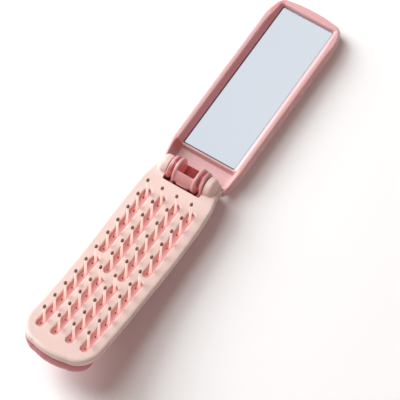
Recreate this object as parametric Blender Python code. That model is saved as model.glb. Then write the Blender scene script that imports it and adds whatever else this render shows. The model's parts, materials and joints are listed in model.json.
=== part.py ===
"""Folding pocket comb with a mirror.

A curved brush half and a flat mirror half share one hinge. The comb stands open, with the fold hinge
along X, the brush half towards -Y and the mirror half towards +Y. Folding the mirror half over the
brush turns two spiral cams on the hinge barrel, which press the pin carrier down, so that the 44 pins
sink into the brush before the mirror reaches them.

Each half is drawn in its own frame with the hinge axis as its origin. In the brush frame the closing
plane is z = 0 and the face is an arc that sags below it. In the mirror frame the rim is a flat plane.
"""
import math

import bmesh
import bpy
from mathutils import Matrix, Vector

MM = 0.001
DEGREE = math.pi / 180

# Folding
REST_SHORTFALL = 7.3 * DEGREE
FOLD_PAST_PARALLEL = 1.0 * DEGREE
PIN_TRAVEL = 3.5 * MM

# Clearances
FIT_GAP = 0.3 * MM
RUNNING_GAP = 0.35 * MM
CUT_OVERRUN = 2.0 * MM
JOIN_OVERLAP = 0.4 * MM

# Brush half outline, measured along its face from the hinge axis
BRUSH_REACH = 104.0 * MM
BRUSH_HALF_WIDTH = 17.2 * MM
BRUSH_HINGE_HALF_WIDTH = 14.7 * MM
BRUSH_FLARE_LENGTH = 46.0 * MM
BRUSH_NEAR_CORNER_WIDTH = 9.2 * MM
BRUSH_NEAR_CORNER_LENGTH = 12.0 * MM
BRUSH_NEAR_CROWN = 1.3 * MM
BRUSH_HINGE_OVERHANG = 4.0 * MM
BRUSH_HINGE_CORNER = 2.6 * MM
FACE_RADIUS = 285.0 * MM
BRUSH_THICKNESS = 12.0 * MM

# Face plate
PLATE_SKIRT = 3.4 * MM
PLATE_WEB = 2.0 * MM
PLATE_WALL = 3.4 * MM
PLATE_LIP_DEPTH = 4.6 * MM
PLATE_EDGE_ROUND = 1.2 * MM
PLATE_EDGE_DROP = 0.8 * MM
NOTCH_DEPTH = 6.4 * MM

# Back shell
SEAM_GAP = 0.3 * MM
SHELL_SEAM_INSET = 0.45 * MM
SHELL_WALL = 1.5 * MM
SHELL_BELLY = 9.5 * MM
SHELL_INNER_BELLY = 4.2 * MM
SHELL_OUTER_SHARES = ((0, 0), (0.32, 0.02), (0.6, 0.11), (0.82, 0.33), (0.94, 0.62), (1, 1))
SHELL_INNER_SHARES = ((0, 0), (0.32, 0.02), (0.6, 0.11), (0.82, 0.33), (0.94, 0.6), (1, 1))
SHELL_LEDGE = 1.6 * MM

# Pins and slots
ROW_PITCH = 7.1 * MM
NEAR_MARGIN = 13.4 * MM
GROUP_GAP = 1.0 * MM
FIRST_PIN = 15.5 * MM
ROW_COUNT = 4
PINS_PER_ROW = 11
HINGE_GROUP_COUNTS = (5, 6, 6, 5)
SLOT_WIDTH = 3.4 * MM
SLOT_FAR_MARGINS = (2.1 * MM, 1.3 * MM)
SLOT_NEAR_MARGIN = 4.7 * MM
PIN_FOOT_RADIUS = 0.68 * MM
PIN_NECK_RADIUS = 0.52 * MM
PIN_BALL_RADIUS = 0.85 * MM
PIN_HEIGHT = 13.0 * MM
PIN_ROOT = 0.7 * MM
PIN_SIDES = 8
BALL_SHARES = (1, 0.45)

# Pin carrier
CARRIER_DEPTH = 3.5 * MM
CARRIER_THICKNESS = 1.5 * MM
CARRIER_HALF_WIDTH = 12.4 * MM
CARRIER_MARGIN = 3.2 * MM
CARRIER_NEAR_MARGIN = 5.3 * MM
CARRIER_CORNER = 3.0 * MM
SOCKET_RADIUS = 1.15 * MM
SOCKET_FLOOR = 0.5 * MM
CUP_BORE = 1.6 * MM
CUP_WALL = 0.45 * MM
CUP_ROOF = 0.7 * MM
CUP_SKIRT = 0.2 * MM
CUP_TOP_DEPTH = 2.7 * MM
ARM_THICKNESS = 1.2 * MM
ARM_HEIGHT = 1.3 * MM
ARM_TIP_HEIGHT = 0.7 * MM
ARM_TIP_LENGTH = 1.1 * MM
ARM_TIP_ROUND = 0.3 * MM
ARM_CLEARANCE = 0.35 * MM
ARM_RISER = 2.2 * MM

# Lift springs, each on a post of the back shell
SPRING_SHARES = (0.24, 0.79)
SPRING_WIRE = 0.3 * MM
SPRING_RADIUS = 1.2 * MM
SPRING_TURNS = 6
SPRING_POINTS = 10
SPRING_SEAT = 0.1 * MM
POST_RADIUS = 0.75 * MM
POST_HEIGHT = 3.1 * MM

# Hinge
KNUCKLE_RADIUS = 4.4 * MM
KNUCKLE_INNER = 9.0 * MM
KNUCKLE_STRAIGHT = 2.0 * MM
KNUCKLE_DOME = 2.8 * MM
HINGE_PIN_RADIUS = 1.0 * MM
HINGE_PIN_INNER = 5.8 * MM
HINGE_PIN_LENGTH = 6.6 * MM
DRUM_RADIUS = 5.4 * MM
RING_RADIUS = 5.8 * MM
RING_INNER = 4.2 * MM
RING_WIDTH = 1.4 * MM
CAM_LOW = 1.9 * MM
CAM_GROOVE = 2.0 * MM
CAM_RELIEF = 30.0 * DEGREE
CAM_STEP = 8.0 * DEGREE
COLLAR_RADIUS = 5.0 * MM
WINDOW_HALF_LENGTH = 4.0 * MM
WINDOW_NEAR = 2.4 * MM
WINDOW_FLOOR = 2.2 * MM
STOP_RIB_HALF_LENGTH = 2.6 * MM
STOP_RIB_HEIGHT = 0.5 * MM
STOP_RIB_THICKNESS = 1.6 * MM
NECK_NEAR = 2.4 * MM
NECK_FAR = 5.4 * MM

# Mirror half, with y measured from the hinge axis and depth below the rim
RIM_DROP = 2.5 * MM
TRAY_NEAR = 5.6 * MM
TRAY_FAR = 99.5 * MM
TRAY_HALF_WIDTH = 17.6 * MM
TRAY_THICKNESS = 8.05 * MM
TRAY_NEAR_CORNER = 2.5 * MM
TRAY_FAR_CORNER_WIDTH = 5.0 * MM
TRAY_FAR_CORNER_LENGTH = 12.3 * MM
TRAY_FAR_CROWN = 1.2 * MM
RIM_ROUND = 0.7 * MM
TRAY_SIDE_INSET = 4.5 * MM
TRAY_LEVEL_SHARES = ((0, 0.22), (0.045, 0.155), (0.43, 0), (0.75, 0.09), (0.91, 0.4), (1, 1))
LAND_SHARES = (0.2, 0.4, 0.6, 0.8, 1)
RIM_WIDTH = 2.1 * MM
RECESS_DEPTH = 3.35 * MM
GLASS_WIDTH = 25.0 * MM
GLASS_LENGTH = 80.0 * MM
GLASS_NEAR = 15.3 * MM
GLASS_THICKNESS = 1.8 * MM
TAPE_THICKNESS = 0.4 * MM
TAPE_INSET = 1.0 * MM
GLASS_CLEARANCE = 0.25 * MM
RIDGE_WIDTH = 1.1 * MM
RIDGE_HEIGHT = 0.45 * MM
HINGE_FLOOR_DEPTH = 6.1 * MM
LAND_DROP = 1.35 * MM
LAND_START = 82.0 * MM

# Meshing
MERGE_DISTANCE = 0.002 * MM
SHARP_ANGLE = 35.0 * DEGREE
ROUND_SIDES = 32
SMALL_SIDES = 10
CORNER_STEPS = 7
FLARE_STEPS = 5
STRAIGHT_STEPS = 7
SLOT_END_STEPS = 6
CAM_STEPS = 30
CROWN_SHARES = (1, 0.75, 0.5, 0.25)

COLLECTION = "Pocket_mirror_comb"
CREAM = (0.89, 0.72, 0.64, 1.0)
PINK = (0.86, 0.51, 0.52, 1.0)
PALE_PINK = (0.98, 0.68, 0.67, 1.0)
SILVER = (0.82, 0.85, 0.88, 1.0)
STEEL = (0.55, 0.55, 0.57, 1.0)
WHITE = (0.9, 0.9, 0.88, 1.0)

# Worked-out sizes
FOLD_TRAVEL = math.pi - REST_SHORTFALL + FOLD_PAST_PARALLEL
PIN_PITCH = (BRUSH_REACH - FIRST_PIN - GROUP_GAP - NEAR_MARGIN) / (PINS_PER_ROW - 1)
FACE_HALF_ANGLE = BRUSH_REACH / (2 * FACE_RADIUS)
FACE_HALF_CHORD = FACE_RADIUS * math.sin(FACE_HALF_ANGLE)
FACE_CENTRE_Z = FACE_RADIUS * math.cos(FACE_HALF_ANGLE)
SHELL_FLOOR_DEPTH = BRUSH_THICKNESS - SHELL_WALL
GLASS_TOP_Z = -RIM_DROP - RECESS_DEPTH
TRAY_BOTTOM_Z = -RIM_DROP - TRAY_THICKNESS
POCKET_FLOOR_Z = GLASS_TOP_Z - GLASS_THICKNESS - TAPE_THICKNESS - 2 * GLASS_CLEARANCE
BARREL_HALF_LENGTH = KNUCKLE_INNER - RUNNING_GAP
CAM_HIGH = CAM_LOW + PIN_TRAVEL
CAM_CENTRE = RING_INNER + RING_WIDTH + CAM_GROOVE / 2


def clear_scene():
    for item in list(bpy.data.objects):
        bpy.data.objects.remove(item, do_unlink=True)


def new_collection(name):
    collection = bpy.data.collections.new(name)
    bpy.context.scene.collection.children.link(collection)
    return collection


def new_material(name, colour, roughness, metallic=0.0):
    material = bpy.data.materials.new(name)
    material.use_nodes = True
    shader = material.node_tree.nodes["Principled BSDF"]
    shader.inputs["Base Color"].default_value = colour
    shader.inputs["Roughness"].default_value = roughness
    shader.inputs["Metallic"].default_value = metallic
    material.diffuse_color = colour
    return material


def new_frame(name, parent=None, location=(0.0, 0.0, 0.0), tilt=0.0):
    frame = bpy.data.objects.new(name, None)
    bpy.context.scene.collection.objects.link(frame)
    frame.location = location
    frame.rotation_euler.x = tilt
    frame.parent = parent
    frame.empty_display_size = DRUM_RADIUS
    return frame


def add_object(name, bm, collection, parent, material=None):
    bmesh.ops.recalc_face_normals(bm, faces=bm.faces)
    mesh = bpy.data.meshes.new(name)
    bm.to_mesh(mesh)
    bm.free()
    mesh.shade_smooth()
    mesh.set_sharp_from_angle(angle=SHARP_ANGLE)
    item = bpy.data.objects.new(name, mesh)
    collection.objects.link(item)
    item.parent = parent
    if material:
        mesh.materials.append(material)
    return item


def boolean(target, tool, operation):
    modifier = target.modifiers.new(tool.name, "BOOLEAN")
    modifier.operation = operation
    modifier.solver = "EXACT"
    modifier.object = tool
    tool.hide_render = True
    tool.display_type = "WIRE"


def cut(target, *tools):
    for tool in tools:
        boolean(target, tool, "DIFFERENCE")


def join(target, *tools):
    for tool in tools:
        boolean(target, tool, "UNION")


def slab(stations, levels, place):
    """Solid between stacked outlines. Stations hold the distance along and the half width."""
    bm = bmesh.new()
    widest = max(width for along, width in stations)
    middle = (stations[0][0] + stations[-1][0]) / 2
    reach = abs(stations[-1][0] - stations[0][0]) / 2
    rings = []
    for depth, inset in levels:
        narrow = (widest - inset) / widest
        shorten = (reach - inset) / reach
        spots = [(width * narrow, middle + (along - middle) * shorten) for along, width in stations]
        right = [bm.verts.new(place(x, along, depth)) for x, along in spots]
        left = [bm.verts.new(place(-x, along, depth)) for x, along in spots]
        rings.append(right + left[::-1])
    count = len(rings[0])
    for upper, lower in zip(rings, rings[1:]):
        for i in range(count):
            j = (i + 1) % count
            bm.faces.new((upper[i], upper[j], lower[j], lower[i]))
    for ring in (rings[0], rings[-1]):
        for i in range(len(stations) - 1):
            bm.faces.new((ring[i], ring[i + 1], ring[-2 - i], ring[-1 - i]))
    return bm


def box(low, high, spread=0.0):
    """Box between two corners, whose top may be wider than its floor by spread on each side."""
    bm = bmesh.new()
    low, high = Vector(low), Vector(high)
    bmesh.ops.create_cube(bm, size=1)
    for vert in bm.verts:
        top = vert.co.z > 0
        vert.co = (low + high) / 2 + vert.co * (high - low)
        if top:
            vert.co.x += math.copysign(spread, vert.co.x)
    return bm


def prism(outline, start, end, axis):
    """Outline of two coordinates, pushed along X (axis 0) or Z (axis 2)."""
    bm = bmesh.new()
    if axis == 0:
        corners = [bm.verts.new((start, u, v)) for u, v in outline]
        push = Vector((end - start, 0, 0))
    else:
        corners = [bm.verts.new((u, v, start)) for u, v in outline]
        push = Vector((0, 0, end - start))
    face = bm.faces.new(corners)
    pushed = bmesh.ops.extrude_face_region(bm, geom=[face])["geom"]
    bmesh.ops.translate(bm, verts=[item for item in pushed if isinstance(item, bmesh.types.BMVert)], vec=push)
    return bm


def turned(profile, sides, matrix=None):
    """Profile of radius and height, spun about Z and then placed by a matrix."""
    bm = bmesh.new()
    verts = [bm.verts.new((radius, 0, height)) for radius, height in profile]
    edges = [bm.edges.new(pair) for pair in zip(verts, verts[1:])]
    bmesh.ops.spin(bm, geom=verts + edges, axis=(0, 0, 1), cent=(0, 0, 0), steps=sides, angle=math.tau)
    bmesh.ops.remove_doubles(bm, verts=bm.verts, dist=MERGE_DISTANCE)
    if matrix:
        bmesh.ops.transform(bm, matrix=matrix, verts=bm.verts)
    return bm


def rods(radius, spans, sides):
    """Upright rods, each given by its x, y, lowest and highest z."""
    bm = bmesh.new()
    for x, y, low, high in spans:
        bmesh.ops.create_cone(
            bm,
            cap_ends=True,
            segments=sides,
            radius1=radius,
            radius2=radius,
            depth=high - low,
            matrix=Matrix.Translation((x, y, (low + high) / 2)),
        )
    return bm


def along_x(mirrored=False):
    """Turns a shape made about Z so that it lies along X."""
    return Matrix.Rotation(-math.pi / 2 if mirrored else math.pi / 2, 4, "Y")


def corner(steps):
    """Angles of a quarter turn, from its start to its end."""
    return [i / steps * math.pi / 2 for i in range(steps + 1)]


def brush_stations():
    hinge = -BRUSH_HINGE_OVERHANG
    stations = [
        (hinge + BRUSH_HINGE_CORNER * (1 - math.cos(turn)),
         BRUSH_HINGE_HALF_WIDTH - BRUSH_HINGE_CORNER * (1 - math.sin(turn)))
        for turn in corner(CORNER_STEPS)
    ]
    start = hinge + BRUSH_HINGE_CORNER
    flare = BRUSH_HALF_WIDTH - BRUSH_HINGE_HALF_WIDTH
    for i in range(1, FLARE_STEPS + 1):
        share = i / FLARE_STEPS
        stations.append((start + (BRUSH_FLARE_LENGTH - start) * share,
                         BRUSH_HINGE_HALF_WIDTH + flare * math.sin(share * math.pi / 2)))
    straight_end = BRUSH_REACH - BRUSH_NEAR_CROWN - BRUSH_NEAR_CORNER_LENGTH
    for i in range(1, STRAIGHT_STEPS):
        share = i / STRAIGHT_STEPS
        stations.append((BRUSH_FLARE_LENGTH + (straight_end - BRUSH_FLARE_LENGTH) * share, BRUSH_HALF_WIDTH))
    for turn in corner(CORNER_STEPS + 1)[:-1]:
        stations.append((straight_end + BRUSH_NEAR_CORNER_LENGTH * math.sin(turn),
                         BRUSH_HALF_WIDTH - BRUSH_NEAR_CORNER_WIDTH * (1 - math.cos(turn))))
    flat = BRUSH_HALF_WIDTH - BRUSH_NEAR_CORNER_WIDTH
    for share in CROWN_SHARES:
        stations.append((BRUSH_REACH - BRUSH_NEAR_CROWN * share * share, flat * share))
    return stations


def on_brush(x, along, depth):
    """A point below the brush face, by its distance along the face from the hinge axis."""
    angle = FACE_HALF_ANGLE - along / FACE_RADIUS
    radius = FACE_RADIUS + depth
    return Vector((x, radius * math.sin(angle) - FACE_HALF_CHORD, FACE_CENTRE_Z - radius * math.cos(angle)))


def brush_z(y, depth):
    """Height of the surface that lies at this depth below the brush face."""
    return FACE_CENTRE_Z - math.sqrt((FACE_RADIUS + depth) ** 2 - (y + FACE_HALF_CHORD) ** 2)


def along_at(y):
    """Distance along the brush face of a place y."""
    return FACE_RADIUS * (FACE_HALF_ANGLE - math.asin((y + FACE_HALF_CHORD) / FACE_RADIUS))


def on_mirror_half(x, y, depth):
    return Vector((x, y, -RIM_DROP - depth))


def pin_rows():
    """Rows of the pins as lists of (x, y), from the hinge towards the near end."""
    rows = []
    for row, hinge_count in enumerate(HINGE_GROUP_COUNTS):
        x = (row - (ROW_COUNT - 1) / 2) * ROW_PITCH
        spots = []
        for i in range(PINS_PER_ROW):
            gap = GROUP_GAP if i >= hinge_count else 0
            spots.append((x, -(FIRST_PIN + i * PIN_PITCH + gap)))
        rows.append(spots)
    return rows


def last_pin():
    return FIRST_PIN + (PINS_PER_ROW - 1) * PIN_PITCH + GROUP_GAP


def slot_outline(x, top, bottom):
    """Long slot with round ends, whose ends have their centres at y = top and y = bottom."""
    radius = SLOT_WIDTH / 2
    turns = [i / SLOT_END_STEPS * math.pi for i in range(SLOT_END_STEPS + 1)]
    outline = [(x + radius * math.cos(turn), top + radius * math.sin(turn)) for turn in turns]
    outline += [(x - radius * math.cos(turn), bottom - radius * math.sin(turn)) for turn in turns]
    return outline


def face_plate(parts, cutters, frame, material):
    levels = [
        (0, PLATE_EDGE_ROUND),
        (PLATE_EDGE_DROP / 4, PLATE_EDGE_ROUND / 2),
        (PLATE_EDGE_DROP, 0),
        (PLATE_SKIRT, PLATE_EDGE_ROUND / 4),
    ]
    stations = brush_stations()
    plate = add_object("brush_face_plate", slab(stations, levels, on_brush), parts, frame, material)
    lip_inset = SHELL_SEAM_INSET + SHELL_WALL + RUNNING_GAP
    lip_levels = [(PLATE_WEB / 2, lip_inset), (PLATE_LIP_DEPTH, lip_inset)]
    hollow_levels = [(PLATE_WEB, PLATE_WALL), (PLATE_LIP_DEPTH + CUT_OVERRUN, PLATE_WALL)]
    lip = add_object("lip", slab(stations, lip_levels, on_brush), cutters, frame)
    hollow = add_object("plate_hollow", slab(stations, hollow_levels, on_brush), cutters, frame)
    high = CUT_OVERRUN
    low = -BRUSH_THICKNESS
    notch = add_object(
        "notch",
        box((-KNUCKLE_INNER, -NOTCH_DEPTH, low), (KNUCKLE_INNER, BRUSH_HINGE_OVERHANG + CUT_OVERRUN, high)),
        cutters,
        frame,
    )
    join(plate, lip)
    cut(plate, hollow, notch)
    for row, (spots, hinge_count) in enumerate(zip(pin_rows(), HINGE_GROUP_COUNTS), 1):
        groups = (spots[:hinge_count], spots[hinge_count:])
        for group, (members, far_margin) in enumerate(zip(groups, SLOT_FAR_MARGINS), 1):
            top = members[0][1] + far_margin - SLOT_WIDTH / 2
            bottom = members[-1][1] - SLOT_NEAR_MARGIN + SLOT_WIDTH / 2
            outline = slot_outline(members[0][0], top, bottom)
            slot = add_object(f"slot_{row}_{group}", prism(outline, low, high, 2), cutters, frame)
            cut(plate, slot)
    for side, name in ((1, "right"), (-1, "left")):
        knuckle = add_object(f"knuckle_{name}", knuckle_shape(0, side), cutters, frame)
        bore_profile = [
            (0, KNUCKLE_INNER - CUT_OVERRUN),
            (HINGE_PIN_RADIUS + FIT_GAP, KNUCKLE_INNER - CUT_OVERRUN),
            (HINGE_PIN_RADIUS + FIT_GAP, HINGE_PIN_INNER + HINGE_PIN_LENGTH + FIT_GAP),
            (0, HINGE_PIN_INNER + HINGE_PIN_LENGTH + FIT_GAP),
        ]
        bore = add_object(
            f"knuckle_bore_{name}", turned(bore_profile, SMALL_SIDES * 2, along_x(mirrored=side < 0)), cutters, frame
        )
        join(plate, knuckle)
        cut(plate, bore)
    return plate


def knuckle_shape(growth, side):
    """Domed hinge knuckle around the hinge axis, larger by growth for its clearance."""
    inner = KNUCKLE_INNER - growth
    profile = [(0, inner), (KNUCKLE_RADIUS + growth, inner)]
    for turn in corner(CORNER_STEPS):
        reach = KNUCKLE_INNER + KNUCKLE_STRAIGHT + (KNUCKLE_DOME + growth) * math.sin(turn)
        profile.append(((KNUCKLE_RADIUS + growth) * math.cos(turn), reach))
    profile[-1] = (0, profile[-1][1])
    return turned(profile, ROUND_SIDES, along_x(mirrored=side < 0))


def back_shell(parts, cutters, frame, material):
    top = PLATE_SKIRT + SEAM_GAP
    deep = BRUSH_THICKNESS - top
    floor = SHELL_FLOOR_DEPTH - top
    outer = [(top + deep * a, SHELL_SEAM_INSET + SHELL_BELLY * b) for a, b in SHELL_OUTER_SHARES]
    inner_start = SHELL_SEAM_INSET + SHELL_WALL
    inner = [(top - CUT_OVERRUN, inner_start)]
    inner += [(top + floor * a, inner_start + SHELL_INNER_BELLY * b) for a, b in SHELL_INNER_SHARES]
    stations = brush_stations()
    shell = add_object("brush_back_shell", slab(stations, outer, on_brush), parts, frame, material)
    cavity = add_object("shell_cavity", slab(stations, inner, on_brush), cutters, frame)
    mouth = add_object(
        "shell_mouth",
        box((-KNUCKLE_INNER, SHELL_LEDGE, -BRUSH_THICKNESS - CUT_OVERRUN),
            (KNUCKLE_INNER, BRUSH_HINGE_OVERHANG + CUT_OVERRUN, CUT_OVERRUN)),
        cutters,
        frame,
    )
    cut(shell, cavity, mouth)
    for side, name in ((1, "right"), (-1, "left")):
        cut(shell, add_object(f"saddle_{name}", knuckle_shape(RUNNING_GAP, side), cutters, frame))
    for index, y in enumerate(spring_places(), 1):
        low = brush_z(y, SHELL_FLOOR_DEPTH + SHELL_WALL / 2)
        high = brush_z(y, SHELL_FLOOR_DEPTH) + POST_HEIGHT
        join(shell, add_object(f"post_{index}", rods(POST_RADIUS, [(0, y, low, high)], SMALL_SIDES), cutters, frame))
    return shell


def spring_places():
    return [-2 * FACE_HALF_CHORD * share for share in SPRING_SHARES]


def carrier_stations():
    start = along_at(-FIRST_PIN + CARRIER_MARGIN)
    end = along_at(-last_pin() - CARRIER_NEAR_MARGIN)
    stations = []
    for turn in corner(CORNER_STEPS):
        stations.append((start + CARRIER_CORNER * (1 - math.cos(turn)),
                         CARRIER_HALF_WIDTH - CARRIER_CORNER * (1 - math.sin(turn))))
    length = end - start - 2 * CARRIER_CORNER
    steps = FLARE_STEPS + STRAIGHT_STEPS
    for i in range(1, steps):
        stations.append((start + CARRIER_CORNER + length * i / steps, CARRIER_HALF_WIDTH))
    for turn in corner(CORNER_STEPS):
        stations.append((end - CARRIER_CORNER * (1 - math.sin(turn)),
                         CARRIER_HALF_WIDTH - CARRIER_CORNER * (1 - math.cos(turn))))
    return stations


def carrier(parts, cutters, frame, material):
    under = CARRIER_DEPTH + CARRIER_THICKNESS
    bed = add_object(
        "pin_carrier", slab(carrier_stations(), [(CARRIER_DEPTH, 0), (under, 0)], on_brush), parts, frame, material
    )
    cups, bores = [], []
    for y in spring_places():
        foot = brush_z(y, under) - CUP_SKIRT
        roof = brush_z(y, CUP_TOP_DEPTH)
        cups.append((0, y, foot, roof))
        bores.append((0, y, foot - CUT_OVERRUN, roof - CUP_ROOF))
    sockets = []
    for spots in pin_rows():
        for x, y in spots:
            sockets.append((x, y, brush_z(y, under) + SOCKET_FLOOR, brush_z(y, CARRIER_DEPTH) + CUT_OVERRUN))
    cup = add_object("spring_cups", rods(CUP_BORE + CUP_WALL, cups, 2 * SMALL_SIDES), cutters, frame)
    bore = add_object("cup_bores", rods(CUP_BORE, bores, 2 * SMALL_SIDES), cutters, frame)
    socket = add_object("pin_sockets", rods(SOCKET_RADIUS, sockets, SMALL_SIDES), cutters, frame)
    join(bed, cup)
    cut(bed, bore, socket)
    arm_top = -CAM_HIGH - ARM_CLEARANCE
    edge = -FIRST_PIN + CARRIER_MARGIN
    for side, name in ((1, "right"), (-1, "left")):
        near = side * CAM_CENTRE - ARM_THICKNESS / 2
        far = side * CAM_CENTRE + ARM_THICKNESS / 2
        outline = [
            (edge - ARM_RISER, arm_top),
            (-ARM_TIP_LENGTH / 2, arm_top),
            (-ARM_TIP_LENGTH / 2, -CAM_LOW - ARM_CLEARANCE - ARM_TIP_ROUND),
            (-ARM_TIP_LENGTH / 2 + ARM_TIP_ROUND, -CAM_LOW - ARM_CLEARANCE),
            (ARM_TIP_LENGTH / 2 - ARM_TIP_ROUND, -CAM_LOW - ARM_CLEARANCE),
            (ARM_TIP_LENGTH / 2, -CAM_LOW - ARM_CLEARANCE - ARM_TIP_ROUND),
            (ARM_TIP_LENGTH / 2, arm_top - ARM_TIP_HEIGHT),
            (edge / 2, arm_top - ARM_HEIGHT),
            (edge, arm_top - ARM_HEIGHT),
            (edge, brush_z(edge, under) + CARRIER_THICKNESS / 4),
            (edge - ARM_RISER, brush_z(edge - ARM_RISER, under) + CARRIER_THICKNESS / 4),
        ]
        join(bed, add_object(f"arm_{name}", prism(outline, near, far, 0), cutters, frame))
    return bed


def comb_pins(parts, frame, material):
    """Separate tapered pins that share one mesh, each with a ball tip."""
    ball_centre = PIN_HEIGHT - PIN_BALL_RADIUS
    neck_turn = math.pi - math.asin(PIN_NECK_RADIUS / PIN_BALL_RADIUS)
    profile = [(0, -PIN_ROOT), (PIN_FOOT_RADIUS, -PIN_ROOT)]
    for share in BALL_SHARES:
        turn = neck_turn * share
        profile.append((PIN_BALL_RADIUS * math.sin(turn), ball_centre + PIN_BALL_RADIUS * math.cos(turn)))
    profile.append((0, PIN_HEIGHT))
    mesh = None
    for row, spots in enumerate(pin_rows(), 1):
        for number, (x, y) in enumerate(spots, 1):
            name = f"comb_pin_{row}_{number:02d}"
            if mesh is None:
                pin = add_object(name, turned(profile, PIN_SIDES), parts, frame, material)
                mesh = pin.data
                mesh.name = "comb_pin"
            else:
                pin = bpy.data.objects.new(name, mesh)
                parts.objects.link(pin)
                pin.parent = frame
            pin.location = (x, y, brush_z(y, CARRIER_DEPTH))


def least_self_gap(points):
    """Least clear gap between the turns of a coil, between points half a turn or more apart."""
    later = SPRING_POINTS // 2
    least = min((far - near).length for i, near in enumerate(points) for far in points[i + later:])
    return least - SPRING_WIRE


def lift_springs(parts, frame, material):
    for index, y in enumerate(spring_places(), 1):
        low = brush_z(y, SHELL_FLOOR_DEPTH) + SPRING_SEAT + SPRING_WIRE / 2
        high = brush_z(y, CUP_TOP_DEPTH) - CUP_ROOF - SPRING_SEAT - SPRING_WIRE / 2
        curve = bpy.data.curves.new(f"lift_spring_{index}", "CURVE")
        curve.dimensions = "3D"
        curve.bevel_depth = SPRING_WIRE / 2
        curve.bevel_resolution = 1
        curve.use_fill_caps = True
        count = SPRING_TURNS * SPRING_POINTS
        spline = curve.splines.new("POLY")
        spline.points.add(count)
        for i, point in enumerate(spline.points):
            turn = i / SPRING_POINTS * math.tau
            height = low + (high - low) * i / count
            point.co = (SPRING_RADIUS * math.cos(turn), y + SPRING_RADIUS * math.sin(turn), height, 1)
        gap = least_self_gap([Vector(point.co[:3]) for point in spline.points])
        print(f"lift_spring_{index}: least gap to itself {gap / MM:.2f} mm")
        spring = bpy.data.objects.new(f"lift_spring_{index}", curve)
        parts.objects.link(spring)
        spring.parent = frame
        curve.materials.append(material)


def hinge_pins(parts, frame, material):
    for side, name in ((1, "right"), (-1, "left")):
        profile = [
            (0, HINGE_PIN_INNER),
            (HINGE_PIN_RADIUS, HINGE_PIN_INNER),
            (HINGE_PIN_RADIUS, HINGE_PIN_INNER + HINGE_PIN_LENGTH),
            (0, HINGE_PIN_INNER + HINGE_PIN_LENGTH),
        ]
        bm = turned(profile, SMALL_SIDES * 2, along_x(mirrored=side < 0))
        add_object(f"hinge_pin_{name}", bm, parts, frame, material)


def tray_stations():
    stations = []
    for turn in corner(CORNER_STEPS):
        stations.append((TRAY_NEAR + TRAY_NEAR_CORNER * (1 - math.cos(turn)),
                         TRAY_HALF_WIDTH - TRAY_NEAR_CORNER * (1 - math.sin(turn))))
    shoulder = TRAY_FAR - TRAY_FAR_CROWN - TRAY_FAR_CORNER_LENGTH
    for turn in corner(2 * CORNER_STEPS)[:-1]:
        stations.append((shoulder + TRAY_FAR_CORNER_LENGTH * math.sin(turn),
                         TRAY_HALF_WIDTH - TRAY_FAR_CORNER_WIDTH * (1 - math.cos(turn))))
    flat = TRAY_HALF_WIDTH - TRAY_FAR_CORNER_WIDTH
    for share in CROWN_SHARES:
        stations.append((TRAY_FAR - TRAY_FAR_CROWN * share * share, flat * share))
    return stations


def cam_outline():
    """Spiral that pushes the carrier down evenly as the mirror half folds, seen from +X."""
    contact = 1.5 * math.pi - REST_SHORTFALL
    steps = CAM_STEPS
    outline = []
    for i in range(steps + 1):
        share = i / steps
        turn = contact - FOLD_TRAVEL * share
        radius = CAM_LOW + (CAM_HIGH - CAM_LOW) * share
        outline.append((radius * math.cos(turn), radius * math.sin(turn)))
    start = contact - FOLD_TRAVEL
    end = contact + CAM_RELIEF + CAM_STEP - math.tau
    for i in range(1, steps // 2 + 1):
        turn = start + (end - start) * i / (steps // 2)
        outline.append((CAM_HIGH * math.cos(turn), CAM_HIGH * math.sin(turn)))
    for turn in (contact + CAM_RELIEF, contact + CAM_RELIEF / 2):
        outline.append((CAM_LOW * math.cos(turn), CAM_LOW * math.sin(turn)))
    return outline


def barrel(cutters, frame):
    """Core of the hinge barrel: a drum between two raised rings, then the cam grooves and end collars."""
    ring_outer = RING_INNER + RING_WIDTH
    soft = RING_WIDTH / 3
    half = [
        (DRUM_RADIUS, 0),
        (DRUM_RADIUS, RING_INNER),
        (RING_RADIUS - soft, RING_INNER),
        (RING_RADIUS - soft / 3, RING_INNER + soft / 3),
        (RING_RADIUS, RING_INNER + soft),
        (RING_RADIUS, ring_outer - soft),
        (RING_RADIUS - soft / 3, ring_outer - soft / 3),
        (RING_RADIUS - soft, ring_outer),
        (CAM_LOW, ring_outer),
        (CAM_LOW, ring_outer + CAM_GROOVE),
        (COLLAR_RADIUS, ring_outer + CAM_GROOVE),
        (COLLAR_RADIUS, BARREL_HALF_LENGTH),
        (0, BARREL_HALF_LENGTH),
    ]
    profile = [(radius, -height) for radius, height in half[:0:-1]] + half[1:]
    return add_object("barrel_core", turned(profile, ROUND_SIDES, along_x()), cutters, frame)


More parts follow.
